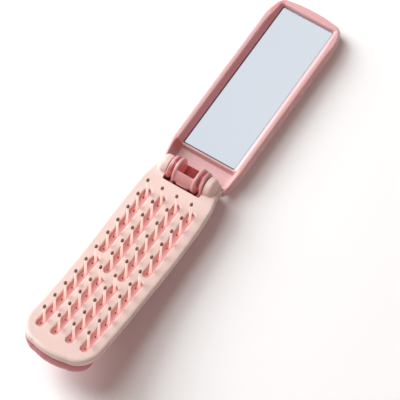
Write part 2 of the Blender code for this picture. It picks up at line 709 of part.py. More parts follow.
def mirror_tray(parts, cutters, frame, material):
    levels = [(TRAY_THICKNESS * a, TRAY_SIDE_INSET * b) for a, b in TRAY_LEVEL_SHARES]
    tray = add_object("mirror_tray", slab(tray_stations(), levels, on_mirror_half), parts, frame, material)
    glass_far = GLASS_NEAR + GLASS_LENGTH + GLASS_CLEARANCE
    glass_start = GLASS_NEAR - GLASS_CLEARANCE
    half = GLASS_WIDTH / 2 + GLASS_CLEARANCE
    rim_half = TRAY_HALF_WIDTH - RIM_WIDTH - RIM_ROUND
    over = CUT_OVERRUN
    slope = (rim_half - half) / (RECESS_DEPTH - RIDGE_HEIGHT)
    ledge = GLASS_TOP_Z + RIDGE_HEIGHT
    rise = over - RIM_DROP - ledge
    recess = add_object(
        "recess",
        box((-half, glass_start - RIDGE_WIDTH, ledge), (half, glass_far, over - RIM_DROP), rise * slope),
        cutters,
        frame,
    )
    pocket = add_object(
        "glass_pocket", box((-half, glass_start, POCKET_FLOOR_Z), (half, glass_far, ledge + over)), cutters, frame
    )
    floor = -RIM_DROP - HINGE_FLOOR_DEPTH
    hinge_recess = add_object(
        "hinge_recess",
        box((-half, -KNUCKLE_RADIUS, floor), (half, glass_start - RIDGE_WIDTH, over - RIM_DROP),
            (over - RIM_DROP - ledge) * slope),
        cutters,
        frame,
    )
    land = [(LAND_START, over - RIM_DROP), (LAND_START, -RIM_DROP)]
    for share in LAND_SHARES:
        drop = LAND_DROP * (1 - math.cos(share * math.pi)) / 2
        land.append((LAND_START + (GLASS_NEAR + GLASS_LENGTH - LAND_START) * share, -RIM_DROP - drop))
    land.append((TRAY_FAR + over, -RIM_DROP - LAND_DROP))
    land.append((TRAY_FAR + over, over - RIM_DROP))
    wide = TRAY_HALF_WIDTH + over
    land_cut = add_object("land", prism(land, -wide, wide, 0), cutters, frame)
    cut(tray, recess, hinge_recess, pocket, land_cut)
    neck = add_object(
        "neck",
        box((-BARREL_HALF_LENGTH, NECK_NEAR, TRAY_BOTTOM_Z), (BARREL_HALF_LENGTH, NECK_FAR, -NECK_NEAR)),
        cutters,
        frame,
    )
    shoe = add_object(
        "neck_shoe",
        box((-BARREL_HALF_LENGTH, NECK_FAR - JOIN_OVERLAP, TRAY_BOTTOM_Z),
            (BARREL_HALF_LENGTH, TRAY_NEAR + TRAY_NEAR_CORNER, floor)),
        cutters,
        frame,
    )
    join(tray, shoe, neck, barrel(cutters, frame))
    inner = RING_INNER + RING_WIDTH - JOIN_OVERLAP
    outer = RING_INNER + RING_WIDTH + CAM_GROOVE + JOIN_OVERLAP
    for side, name in ((1, "right"), (-1, "left")):
        span = sorted((side * inner, side * outer))
        cam = add_object(f"cam_{name}", prism(cam_outline(), span[0], span[1], 0), cutters, frame)
        join(tray, cam)
    rib = box((-STOP_RIB_HALF_LENGTH, -DRUM_RADIUS - STOP_RIB_HEIGHT, -STOP_RIB_THICKNESS),
              (STOP_RIB_HALF_LENGTH, -DRUM_RADIUS / 2, 0))
    join(tray, add_object("stop_rib", rib, cutters, frame))
    window = box((-WINDOW_HALF_LENGTH, -WINDOW_NEAR, -WINDOW_FLOOR),
                 (WINDOW_HALF_LENGTH, RING_RADIUS + CUT_OVERRUN, RING_RADIUS + CUT_OVERRUN))
    cut(tray, add_object("window", window, cutters, frame))
    for side, name in ((1, "right"), (-1, "left")):
        bore_profile = [
            (0, HINGE_PIN_INNER - FIT_GAP),
            (HINGE_PIN_RADIUS + FIT_GAP, HINGE_PIN_INNER - FIT_GAP),
            (HINGE_PIN_RADIUS + FIT_GAP, BARREL_HALF_LENGTH + CUT_OVERRUN),
            (0, BARREL_HALF_LENGTH + CUT_OVERRUN),
        ]
        bore = turned(bore_profile, SMALL_SIDES * 2, along_x(mirrored=side < 0))
        cut(tray, add_object(f"barrel_bore_{name}", bore, cutters, frame))
    return tray


def glass_and_tape(parts, frame, glass_material, tape_material):
    half = GLASS_WIDTH / 2
    bottom = GLASS_TOP_Z - GLASS_THICKNESS
    glass = box((-half, GLASS_NEAR, bottom), (half, GLASS_NEAR + GLASS_LENGTH, GLASS_TOP_Z))
    add_object("mirror_glass", glass, parts, frame, glass_material)
    low = POCKET_FLOOR_Z + GLASS_CLEARANCE
    tape = box((-half + TAPE_INSET, GLASS_NEAR + TAPE_INSET, low),
               (half - TAPE_INSET, GLASS_NEAR + GLASS_LENGTH - TAPE_INSET, low + TAPE_THICKNESS))
    add_object("mirror_tape", tape, parts, frame, tape_material)


def resting_tilt():
    """Turn about X that lets the curved back and the far edge of the tray both touch the table."""
    tilt = REST_SHORTFALL
    y, z = -FACE_HALF_CHORD, FACE_CENTRE_Z
    centre_y = y * math.cos(tilt) + z * math.sin(tilt)
    centre_z = z * math.cos(tilt) - y * math.sin(tilt)
    far = TRAY_FAR - TRAY_SIDE_INSET * TRAY_LEVEL_SHARES[-1][1]
    across = far - centre_y
    up = centre_z - TRAY_BOTTOM_Z
    reach = math.hypot(across, up)
    return math.atan2(across, up) - math.acos((FACE_RADIUS + BRUSH_THICKNESS) / reach)


def stand_at_origin(parts, root):
    """Moves the whole comb so that the middle of its footprint is the origin and it stands on z = 0."""
    bpy.context.view_layer.update()
    graph = bpy.context.evaluated_depsgraph_get()
    corners = []
    for item in parts.objects:
        evaluated = item.evaluated_get(graph)
        mesh = evaluated.to_mesh()
        corners += [item.matrix_world @ vert.co for vert in mesh.vertices]
        evaluated.to_mesh_clear()
    middle_y = (min(co.y for co in corners) + max(co.y for co in corners)) / 2
    root.location.y -= middle_y
    root.location.z -= min(co.z for co in corners)


def main():
    clear_scene()
    parts = new_collection(COLLECTION)
    cutters = new_collection("Cutters")
    cream = new_material("cream_plastic", CREAM, 0.35)
    pink = new_material("pink_plastic", PINK, 0.35)
    pale = new_material("pale_pink_nylon", PALE_PINK, 0.4)
    silver = new_material("silvered_glass", SILVER, 0.03, 1.0)
    steel = new_material("steel", STEEL, 0.3, 1.0)
    white = new_material("white_tape", WHITE, 0.8)

    root = new_frame("hinge_axis")
    tilt = -resting_tilt()
    mirror_frame = new_frame("fold_joint", root, tilt=tilt)
    brush_frame = new_frame("brush_frame", root, tilt=tilt - REST_SHORTFALL)
    lift_frame = new_frame("pin_lift_joint", brush_frame)

    back_shell(parts, cutters, brush_frame, pink)
    face_plate(parts, cutters, brush_frame, cream)
    hinge_pins(parts, brush_frame, steel)
    carrier(parts, cutters, lift_frame, pink)
    comb_pins(parts, lift_frame, pale)
    lift_springs(parts, brush_frame, steel)
    mirror_tray(parts, cutters, mirror_frame, pink)
    glass_and_tape(parts, mirror_frame, silver, white)
    stand_at_origin(parts, root)


main()
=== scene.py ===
import json
import math

import bmesh
import bpy
from mathutils import Matrix, Vector


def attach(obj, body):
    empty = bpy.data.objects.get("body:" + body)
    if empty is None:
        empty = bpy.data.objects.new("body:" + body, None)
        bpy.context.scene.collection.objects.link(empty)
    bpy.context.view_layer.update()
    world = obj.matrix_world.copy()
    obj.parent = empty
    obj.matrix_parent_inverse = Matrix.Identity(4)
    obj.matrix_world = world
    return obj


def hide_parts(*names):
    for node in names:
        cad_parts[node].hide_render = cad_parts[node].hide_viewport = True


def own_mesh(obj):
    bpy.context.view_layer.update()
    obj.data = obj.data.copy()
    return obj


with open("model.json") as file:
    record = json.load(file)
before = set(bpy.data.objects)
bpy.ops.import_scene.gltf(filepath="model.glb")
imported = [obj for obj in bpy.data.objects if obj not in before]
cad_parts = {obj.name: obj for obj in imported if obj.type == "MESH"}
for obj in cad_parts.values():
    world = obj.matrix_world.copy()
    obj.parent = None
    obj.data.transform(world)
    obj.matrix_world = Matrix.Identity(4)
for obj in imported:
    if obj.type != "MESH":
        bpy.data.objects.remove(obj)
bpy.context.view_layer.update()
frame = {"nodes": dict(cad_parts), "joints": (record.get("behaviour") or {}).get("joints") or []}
NODES = frame["nodes"]
JOINTS = {joint["name"]: joint for joint in frame["joints"]}
PINS = sorted(name for name in NODES if name.startswith("comb_pin_"))
MM = 0.001

# Hinge axis, the brush half's own directions, and the mirror half's upward direction
HINGE = Vector((0.0, 2.19, 12.2)) * MM
DOWN = Vector(JOINTS["pin_lift"]["axis"]).normalized()
UP = -DOWN
TOWARDS = Vector((0, DOWN.z, -DOWN.y))
TRAY_UP = Vector((0.0, 0.017405, 0.999849))

# Arc of the brush face: depth below the hinge axis at its middle, and where that is
FACE_LOW = 4.73 * MM
FACE_MIDDLE = 51.7 * MM
FACE_RADIUS = 285 * MM

# Where the two tones of a drifting colour stand on its noise
STOPS = (0.3, 0.7)

# Noise of the moulded plastic: colour drift, gloss and grain
DRIFT_SCALE, DRIFT_DETAIL = 38.0, 2.0
DRIFT_STOPS = (0.32, 0.68)
GLOSS_SCALE, GLOSS_DETAIL = 900.0, 4.0
GLOSS_BELOW, GLOSS_ABOVE = 0.05, 0.07
GRAIN_SCALE, GRAIN_DETAIL, GRAIN_STRENGTH = 2600.0, 2.0, 0.6
GRAIN_DEPTH = 0.012 * MM
FINE_GRAIN_DEPTH = 0.006 * MM
FOAM_GRAIN_DEPTH = 0.05 * MM
PLASTIC_IOR = 1.46

# Regions for colour masks. Each limit is an axis, where the mask starts and where it is full,
# in millimetres from the hinge axis.
BARREL = (("across", 9.6, 8.8), ("ahead", 6.4, 5.0), ("above", -8.0, -6.0))
HINGE_FLOOR = (("across", 13.4, 12.8), ("ahead", 6.0, 7.5), ("ahead", 15.5, 14.5), ("above", -9.5, -8.5))
# Painted shade: the cam tops in the gap beside the barrel are darkened to a deep red
CAM_TOPS_PAINTED_SHADE = (("across", 5.7, 5.85), ("across", 7.3, 6.8), ("above", 0.3, 2.0))
# Painted shade: the window in the barrel is darkened to a deep red, most towards its right and least on its
# left wall
WINDOW = (
    ("across", 4.12, 3.98), ("ahead", -2.5, -2.3), ("ahead", 5.6, 5.0),
    ("above", 5.5, -1.5), ("above", -2.7, -2.4),
)
# Painted light: a glow lifts the window's left side and, below, the shaded cam grooves
WINDOW_LEFT_SIDE_PAINTED_LIGHT = (
    ("rightward", -4.3, -4.15), ("rightward", -3.0, -3.9), ("ahead", -2.5, -2.3), ("ahead", 5.6, 5.0),
    ("above", -2.7, -2.4), ("above", 5.0, 3.0),
)
CAM_GROOVES_PAINTED_LIGHT = (("across", 5.4, 5.8), ("across", 8.9, 8.4), ("ahead", -1.0, -3.0), ("above", 3.5, 2.0))
# Painted shade: the tray's left inner wall, which faces away from the key lamp, is made a deeper pink
LEFT_INNER_WALL_PAINTED_SHADE = (
    ("rightward", -12.4, -12.6), ("rightward", -16.0, -15.5),
    ("height", -2.8, -3.5), ("height", -7.5, -7.0), ("ahead", 9.0, 12.0),
)
# Painted bounce light and shade: the walls under the face, seen through the slots, turn pink
UNDER_FACE = (
    ("across", 13.7, 13.4), ("along", 11.0, 12.0), ("along", 98.5, 97.5),
    ("sunk", FACE_LOW / MM + 0.3, FACE_LOW / MM + 1.3),
)
# Painted reflection: a dark line along the glass's left and near edges
GLASS_LEFT_EDGE = (("rightward", -12.15, -12.3),)
GLASS_NEAR_EDGE = (("ahead", 15.55, 15.4),)

# Factors on the base colour of each region; on the cam tops, in the window and on the left inner wall they
# are painted shade, under the face painted bounce light and shade, and along the glass's edges a painted
# reflection
TRAY_TINTS_AND_PAINTED_SHADE = (
    (BARREL, (0.87, 0.73, 0.73)),
    (HINGE_FLOOR, (0.84, 0.92, 0.92)),
    # Painted shade on the cam tops, in the window and on the left inner wall
    (CAM_TOPS_PAINTED_SHADE, (0.48, 0.12, 0.14)),
    (WINDOW + (("rightward", -5.2, -2.6),), (0.84, 0.12, 0.13)),
    (WINDOW + (("rightward", -1.5, 1.5),), (0.5, 0.3, 0.35)),
    (LEFT_INNER_WALL_PAINTED_SHADE, (1.0, 0.72, 0.76)),
)
UNDER_FACE_PAINTED_BOUNCE = (0.98, 0.6, 0.62)
GLASS_EDGE_PAINTED_REFLECTION = (0.28, 0.22, 0.25)

# Painted light: emission colour and strength of the glows that stand in for light the plastic lets through,
# and strength of the floor's own
ROSE_PAINTED_LIGHT = ((1.0, 0.7, 0.64), 0.11)
NYLON_PAINTED_LIGHT = ((1.0, 0.82, 0.75), 0.4)
TRAY_PAINTED_LIGHT = ((1.0, 0.2, 0.22), 0.16)
FLOOR_GLOW = 0.07
FLOOR_HALF_WIDTH = 2.5

# Reshaping of the brush half's margins, with places along and across it
SHOULDER = 1.5 * MM
SHOULDER_RISE = (3 * MM, 9 * MM)
SHOULDER_FALL = (9 * MM, 62 * MM)
SHOULDER_ACROSS = (12.2 * MM, 14.4 * MM)
SHELL_DRAWN_IN = 1.3 * MM
SHELL_DRAWN_END = (92 * MM, 98 * MM)
WIDEST = 17.3 * MM

# Walls under the face plate, in millimetres: section as distance across and depth below the face,
# and stations along it
WALL_SECTION = ((12.48, 1.6), (12.48, 5.2), (12.9, 5.5), (13.3, 5.2), (13.3, 1.6))
WALL_START = 13.5
WALL_PITCH = 4.8
WALL_STATIONS = 18

# Tray corners beside the hinge
CORNER_ROWS = range(6, 15)
CORNER_COLUMNS = (13.3, 13.8, 14.3, 15.4)
CORNER_SIDE = (13.2 * MM, 14.3 * MM)
CORNER_START = 14.0 * MM
CORNER_END = 2.5 * MM
CORNER_STRETCH = 1.4
CORNER_FOOT = 9 * MM
CORNER_HEIGHT = 6.3 * MM
CORNER_DROP = 3.2 * MM
CORNER_DROP_CURVE = 1.6
CORNER_INNER = 13.5 * MM
CORNER_DRAW = 0.5
CORNER_DRAW_CURVE = 1.3

# Edge softening: voxel size, shares of the faces that are kept, and smoothing
GRAIN = 0.3 * MM
PLATE_SHARE = 0.4
SHELL_SHARE = 0.3
TRAY_SHARE = 0.4
SMOOTH_FACTOR = 0.5
SMOOTH_ROUNDS = 5

# Pin bed: its raised face, and the well and hole beside each pin
BED_START = 11.4 * MM
BED_LEAST_DEPTH = 3.2 * MM
BED_MOST_DEPTH = 3.9 * MM
BED_RISE = 0.4 * MM
PIN_ROOT = 0.7 * MM
WELL_OUTER = 1.28 * MM
WELL_INNER = 0.92 * MM
WELL_DEPTH = 0.5 * MM
WELL_STEPS = 8
WELL_FROM = math.radians(-76)
WELL_TO = math.radians(-10)
WELL_END_WIDTH = 0.35
HOLE_RADIUS = 0.52 * MM
HOLE_DEPTH = 1.1 * MM
HOLE_PLACE = Vector((-0.57, -1.05, 0.0)) * MM
HOLE_SIDES = 16

# Pins
PIN_FOOT = 0.57 * MM
PIN_NECK = 0.46 * MM
PIN_BALL = 0.85 * MM
PIN_SIDES = 20
FOOT_CHAMFER = 0.86
FOOT_CHAMFER_HEIGHT = 0.12 * MM
FOOT_HEIGHT = 0.9 * MM
FOOT_LEVEL = 0.02 * MM
SHAFT_STEPS = 6
SHAFT_CURVE = 0.8
BALL_STEPS = 10
TIP_SLIMMING = 0.24
TILT = Vector((0, 0, 1)).rotation_difference(UP).to_matrix().to_4x4()


# Shader building blocks
def shader_of(material):
    return material.node_tree.nodes["Principled BSDF"]


def new_material(name, roughness, metallic=0.0):
    material = bpy.data.materials.new(name)
    material.use_nodes = True
    shader = shader_of(material)
    shader.inputs["Roughness"].default_value = roughness
    shader.inputs["Metallic"].default_value = metallic
    return material, material.node_tree, shader


def noise(tree, scale, detail=3.0):
    place = tree.nodes.new("ShaderNodeTexCoord")
    texture = tree.nodes.new("ShaderNodeTexNoise")
    texture.inputs["Scale"].default_value = scale
    texture.inputs["Detail"].default_value = detail
    tree.links.new(place.outputs["Object"], texture.inputs["Vector"])
    return texture.outputs["Fac"]


def ramp(tree, factor, stops):
    node = tree.nodes.new("ShaderNodeValToRGB")
    while len(node.color_ramp.elements) < len(stops):
        node.color_ramp.elements.new(0.5)
    for element, (place, colour) in zip(node.color_ramp.elements, stops):
        element.position = place
        element.color = (*colour, 1.0)
    tree.links.new(factor, node.inputs["Fac"])
    return node.outputs["Color"]


def drifting(tree, shader, factor, tones, stops=STOPS):
    """Base colour that goes from one tone to another as the factor rises."""
    tree.links.new(ramp(tree, factor, tuple(zip(stops, tones))), shader.inputs["Base Color"])


def span(tree, factor, low, high):
    node = tree.nodes.new("ShaderNodeMapRange")
    node.inputs["To Min"].default_value = low
    node.inputs["To Max"].default_value = high
    tree.links.new(factor, node.inputs["Value"])
    return node.outputs["Result"]


def bump(tree, shader, factor, distance, strength):
    node = tree.nodes.new("ShaderNodeBump")
    node.inputs["Distance"].default_value = distance
    node.inputs["Strength"].default_value = strength
    tree.links.new(factor, node.inputs["Height"])
    tree.links.new(node.outputs["Normal"], shader.inputs["Normal"])


def calculated(tree, operation, *values):
    """Math node whose inputs are plain numbers or the outputs of other nodes."""
    node = tree.nodes.new("ShaderNodeMath")
    node.operation = operation
    for socket, value in zip(node.inputs, values):
        if isinstance(value, float):
            socket.default_value = value
        else:
            tree.links.new(value, socket)
    return node.outputs["Value"]


def band(tree, value, start, full):
    """0 up to the start and 1 from where it is full, with a smooth rise; start may lie above full."""
    node = tree.nodes.new("ShaderNodeMapRange")
    node.interpolation_type = "SMOOTHSTEP"
    node.inputs["From Min"].default_value = min(start, full)
    node.inputs["From Max"].default_value = max(start, full)
    node.inputs["To Min"].default_value = 0.0 if start < full else 1.0
    node.inputs["To Max"].default_value = 1.0 if start < full else 0.0
    tree.links.new(value, node.inputs["Value"])
    return node.outputs["Result"]


def measured(tree, vector, direction):
    node = tree.nodes.new("ShaderNodeVectorMath")
    node.operation = "DOT_PRODUCT"
    node.inputs[1].default_value = direction
    tree.links.new(vector, node.inputs[0])
    return node.outputs["Value"]


def axes_from_hinge(tree):
    """Named distances from the hinge axis in the part's own frame, in millimetres."""
    place = tree.nodes.new("ShaderNodeTexCoord")
    moved = tree.nodes.new("ShaderNodeVectorMath")
    moved.operation = "SUBTRACT"
    moved.inputs[1].default_value = HINGE
    tree.links.new(place.outputs["Object"], moved.inputs[0])
    scaled = tree.nodes.new("ShaderNodeVectorMath")
    scaled.operation = "SCALE"
    scaled.inputs["Scale"].default_value = 1 / MM
    tree.links.new(moved.outputs["Vector"], scaled.inputs[0])
    offset = scaled.outputs["Vector"]
    parts = tree.nodes.new("ShaderNodeSeparateXYZ")
    tree.links.new(offset, parts.inputs["Vector"])
    along = measured(tree, offset, TOWARDS)
    from_middle = calculated(tree, "SUBTRACT", along, FACE_MIDDLE / MM)
    squared = calculated(tree, "MULTIPLY", from_middle, from_middle)
    sunk = calculated(tree, "MULTIPLY_ADD", squared, MM / (2 * FACE_RADIUS), measured(tree, offset, DOWN))
    return {
        "rightward": parts.outputs["X"],
        "across": calculated(tree, "ABSOLUTE", parts.outputs["X"]),
        "ahead": parts.outputs["Y"],
        "above": parts.outputs["Z"],
        "height": measured(tree, offset, TRAY_UP),
        "along": along,
        "sunk": sunk,
    }


def region(tree, axes, limits):
    """1 where all limits hold."""
    bands = [band(tree, axes[axis], start, full) for axis, start, full in limits]
    mask = bands[0]
    for other in bands[1:]:
        mask = calculated(tree, "MULTIPLY", mask, other)
    return mask


def tinted(tree, shader, mask, factor):
    """Base colour times the factor where the mask is 1."""
    node = tree.nodes.new("ShaderNodeMix")
    node.data_type = "RGBA"
    node.blend_type = "MULTIPLY"
    tree.links.new(mask, node.inputs["Factor"])
    tree.links.new(shader.inputs["Base Color"].links[0].from_socket, node.inputs["A"])
    node.inputs["B"].default_value = (*factor, 1.0)
    tree.links.new(node.outputs["Result"], shader.inputs["Base Color"])


def painted_glow(tree, shader, mask, colour, strength):
    """Painted light: an emission glow where the mask is 1, standing in for light that the thin plastic lets
    through.
    """
    node = tree.nodes.new("ShaderNodeMix")
    node.data_type = "RGBA"
    tree.links.new(mask, node.inputs["Factor"])
    node.inputs["A"].default_value = (0.0, 0.0, 0.0, 1.0)
    node.inputs["B"].default_value = (*colour, 1.0)
    tree.links.new(node.outputs["Result"], shader.inputs["Emission Color"])
    shader.inputs["Emission Strength"].default_value = strength


def painted_glow_all_over(material, colour, strength):
    shader = shader_of(material)
    shader.inputs["Emission Color"].default_value = (*colour, 1.0)
    shader.inputs["Emission Strength"].default_value = strength


def seen_directly(tree):
    """1 for rays from the camera and for mirror reflections, 0 for the rest."""
    path = tree.nodes.new("ShaderNodeLightPath")
    return calculated(tree, "MAXIMUM", path.outputs["Is Camera Ray"], path.outputs["Is Glossy Ray"])


def hexed(*values):
    """Linear colour from the usual 0 to 255 values of red, green and blue."""
    return tuple(((v / 255 + 0.055) / 1.055) ** 2.4 if v > 10 else v / 255 / 12.92 for v in values)


def moulded(name, light, dark, roughness, grain=GRAIN_DEPTH):
    """Satin moulded plastic: slow colour drift, fine grain, and a gloss that varies a little."""
    material, tree, shader = new_material(name, roughness)
    drifting(tree, shader, noise(tree, DRIFT_SCALE, DRIFT_DETAIL), (dark, light), DRIFT_STOPS)
    gloss = noise(tree, GLOSS_SCALE, GLOSS_DETAIL)
    varied = span(tree, gloss, roughness - GLOSS_BELOW, roughness + GLOSS_ABOVE)
    tree.links.new(varied, shader.inputs["Roughness"])
    bump(tree, shader, noise(tree, GRAIN_SCALE, GRAIN_DETAIL), grain, GRAIN_STRENGTH)
    shader.inputs["IOR"].default_value = PLASTIC_IOR
    return material


def metal(name, roughness, tones, drift, gloss, between):
    """Metal whose colour drifts between two tones, and its roughness between two values."""
    material, tree, shader = new_material(name, roughness, 1.0)
    drifting(tree, shader, noise(tree, **drift), tones)
    tree.links.new(span(tree, noise(tree, gloss), *between), shader.inputs["Roughness"])
    return material


# Materials
cream = moulded("cream_plastic", hexed(236, 209, 201), hexed(232, 204, 195), 0.38)
# Painted light: the pin bed's rose is a lighter copy of the pink plastic, and it glows all over, to lift the
# shade in the slots
rose = moulded("rose_plastic_painted_light", hexed(250, 196, 194), hexed(245, 188, 186), 0.42)
# Painted light: the pins' nylon glows, so that their shaded sides come out as light as their lit ones
nylon = moulded("pin_nylon", hexed(255, 232, 226), hexed(252, 227, 221), 0.4, FINE_GRAIN_DEPTH)
tip = moulded("pin_tip", hexed(150, 112, 104), hexed(140, 102, 96), 0.7, FINE_GRAIN_DEPTH)
pink_tray = moulded("pink_plastic_tray", hexed(230, 180, 180), hexed(226, 174, 174), 0.34)
# Painted shade: the back shell takes a darker, deeper copy of the tray's pink plastic
pink_painted_shade = moulded("pink_plastic_back_painted_shade", hexed(200, 112, 120), hexed(194, 104, 112), 0.34)
# Painted shade: a dark rose for the insides of the grooves and holes beside the pins
painted_hole_shade = moulded("painted_hole_shade_rose", hexed(150, 48, 52), hexed(138, 42, 46), 0.6)
tape = moulded("foam_tape", hexed(240, 240, 236), hexed(228, 228, 224), 0.8, FOAM_GRAIN_DEPTH)
mirror = metal(
    "mirror_silver", 0.02, (hexed(214, 221, 231), hexed(219, 226, 234)),
    drift={"scale": 14.0, "detail": 1.0}, gloss=60.0, between=(0.015, 0.03),
)
steel = metal(
    "drawn_steel", 0.3, (hexed(150, 150, 154), hexed(176, 176, 180)),
    drift={"scale": 700.0}, gloss=1500.0, between=(0.25, 0.4),
)

# Painted light: the pin bed and the pins glow all over, though neither is a lamp
painted_glow_all_over(rose, *ROSE_PAINTED_LIGHT)
painted_glow_all_over(nylon, *NYLON_PAINTED_LIGHT)
shader_of(tip).inputs["Specular IOR Level"].default_value = 0.15

# The mirror half's pink is made darker and deeper on the barrel and duller on the floor beside the barrel;
# painted shade darkens its cam tops, its window and its left inner wall, and a painted glow lights its cam
# grooves and its window's left side
tree, shader = pink_tray.node_tree, shader_of(pink_tray)
axes = axes_from_hinge(tree)
for limits, factor in TRAY_TINTS_AND_PAINTED_SHADE:
    tinted(tree, shader, region(tree, axes, limits), factor)
# Painted light: a glow lifts the shaded cam grooves and the window's left wall
lit = calculated(tree, "MAXIMUM", region(tree, axes, CAM_GROOVES_PAINTED_LIGHT), region(tree, axes, WINDOW_LEFT_SIDE_PAINTED_LIGHT))
painted_glow(tree, shader, lit, *TRAY_PAINTED_LIGHT)

# Painted bounce light and shade: the walls under the face are tinted to the pin bed's pink
tree, shader = cream.node_tree, shader_of(cream)
tinted(tree, shader, region(tree, axes_from_hinge(tree), UNDER_FACE), UNDER_FACE_PAINTED_BOUNCE)

# Painted reflection: the glass shows a thin dark line along two of its edges, the left and the near one,
# where it would reflect the shaded walls
tree, shader = mirror.node_tree, shader_of(mirror)
axes = axes_from_hinge(tree)
for limits in (GLASS_LEFT_EDGE, GLASS_NEAR_EDGE):
    tinted(tree, shader, region(tree, axes, limits), GLASS_EDGE_PAINTED_REFLECTION)


def dress(node, material):
    slots = NODES[node].data.materials
    if len(slots):
        for index in range(len(slots)):
            slots[index] = material
    else:
        slots.append(material)


dress("mirror_glass", mirror)
dress("mirror_tape", tape)
for name in ("hinge_pin_left", "hinge_pin_right"):
    dress(name, steel)


# Object and mesh building blocks
def placed(name, data):
    item = bpy.data.objects.new(name, data)
    bpy.context.scene.collection.objects.link(item)
    return item


def mesh_from(bm, name):
    mesh = bpy.data.meshes.new(name)
    bm.to_mesh(mesh)
    bm.free()
    return mesh


def copied(node, name, material):
    """New object with a copy of a node's mesh."""
    source = NODES[node]
    mesh = source.data.copy()
    mesh.materials.clear()
    mesh.materials.append(material)
    piece = placed(name, mesh)
    piece.matrix_world = source.matrix_world.copy()
    return piece


def eased(value, low, high):
    share = min(1.0, max(0.0, (value - low) / (high - low)))
    return share * share * (3 - 2 * share)


def face_depth(along):
    """How far the face's low arc lies below the hinge axis."""
    return FACE_LOW - (along - FACE_MIDDLE) ** 2 / (2 * FACE_RADIUS)


def closed_loft(bm, loops):
    """Skin through closed loops, with a cap on each end."""
    faces = []
    for lower, upper in zip(loops, loops[1:]):
        count = len(lower)
        for k in range(count):
            n = (k + 1) % count
            faces.append(bm.faces.new((lower[k], lower[n], upper[n], upper[k])))
    faces += [bm.faces.new(loops[0]), bm.faces.new(loops[-1])]
    bmesh.ops.recalc_face_normals(bm, faces=faces)


# Moulded pieces with softened edges
def shoulders(mesh, drawn_in=0.0):
    """The brush half's margins stand out a little more towards the hinge, less what they are drawn in."""
    for vert in mesh.vertices:
        along = HINGE.y - vert.co.y
        start = eased(along, *SHOULDER_RISE)
        change = SHOULDER * start * (1 - eased(along, *SHOULDER_FALL))
        change -= drawn_in * start * (1 - eased(along, *SHELL_DRAWN_END))
        change *= eased(abs(vert.co.x), *SHOULDER_ACROSS)
        across = abs(vert.co.x) + change
        if change > 0:
            across = max(abs(vert.co.x), min(across, WIDEST))
        vert.co.x = math.copysign(across, vert.co.x)


def face_plate(mesh):
    """Fuller margins, and a thin wall under the plate along each side of the pin bed."""
    shoulders(mesh)
    bm = bmesh.new()
    bm.from_mesh(mesh)
    for side in (-1, 1):
        loops = []
        for station in range(WALL_STATIONS):
            along = (WALL_START + WALL_PITCH * station) * MM
            top = face_depth(along)
            loops.append([
                bm.verts.new(
                    HINGE + Vector((side * x * MM, 0, 0)) + TOWARDS * along + DOWN * (top + depth * MM)
                )
                for x, depth in WALL_SECTION
            ])
        closed_loft(bm, loops)
    bm.to_mesh(mesh)
    bm.free()


def back_shell(mesh):
    """Margins drawn in, so that the shell stays behind the plate's skirt."""
    shoulders(mesh, SHELL_DRAWN_IN)


def drawn_corners(mesh):
    """The tray's side walls run on beside the hinge, sloping down and drawing in."""
    bm = bmesh.new()
    bm.from_mesh(mesh)
    cuts = [((0.0, HINGE.y + row * MM, 0.0), (0.0, 1.0, 0.0)) for row in CORNER_ROWS]
    cuts += [
        ((side * column * MM, 0.0, 0.0), (1.0, 0.0, 0.0)) for side in (-1, 1) for column in CORNER_COLUMNS
    ]
    for point, normal in cuts:
        everything = bm.verts[:] + bm.edges[:] + bm.faces[:]
        bmesh.ops.bisect_plane(bm, geom=everything, plane_co=point, plane_no=normal)
    for vert in bm.verts:
        beyond = vert.co.y - HINGE.y
        side = eased(abs(vert.co.x), *CORNER_SIDE)
        if beyond > CORNER_START or side == 0.0:
            continue
        drawn = CORNER_START - (CORNER_START - beyond) * CORNER_STRETCH
        near = max(0.0, (CORNER_START - drawn) / (CORNER_START - CORNER_END))
        height = min(1.0, max(0.0, (vert.co.z - HINGE.z + CORNER_FOOT) / CORNER_HEIGHT))
        inwards = (abs(vert.co.x) - CORNER_INNER) * CORNER_DRAW * near ** CORNER_DRAW_CURVE
        vert.co.y += side * (drawn - beyond)
        vert.co.z -= side * height * CORNER_DROP * near ** CORNER_DROP_CURVE
        vert.co.x -= side * math.copysign(inwards, vert.co.x)
    bm.to_mesh(mesh)
    bm.free()


def softened(node, material, share, reshape):
    """Copy of a node whose edges are rounded by about the size of one grain."""
    piece = copied(node, "moulded_" + node, material)
    reshape(piece.data)
    remesh = piece.modifiers.new("remesh", "REMESH")
    remesh.mode = "VOXEL"
    remesh.voxel_size = GRAIN
    remesh.use_smooth_shade = True
    smooth = piece.modifiers.new("smooth", "SMOOTH")
    smooth.factor = SMOOTH_FACTOR
    smooth.iterations = SMOOTH_ROUNDS
    thin = piece.modifiers.new("decimate", "DECIMATE")
    thin.ratio = share
    return piece


def pin_base(name):
    """Foot centre and length of a pin, taken from its node."""
    spots = [vert.co for vert in NODES[name].data.vertices]
    foot = min(spot.dot(UP) for spot in spots)
    head = max(spot.dot(UP) for spot in spots)
    ring = [spot for spot in spots if spot.dot(UP) < foot + FOOT_LEVEL]
    return sum(ring, Vector()) / len(ring), head - foot


def raised_bed(mesh):
    """Lifts the bed's upper face to just under the face plate, where the photo shows it."""
    for vert in mesh.vertices:
        offset = vert.co - HINGE
        along = offset.dot(TOWARDS)
        below = offset.dot(DOWN) - face_depth(along)
        if along > BED_START and BED_LEAST_DEPTH < below < BED_MOST_DEPTH:
            vert.co += UP * BED_RISE


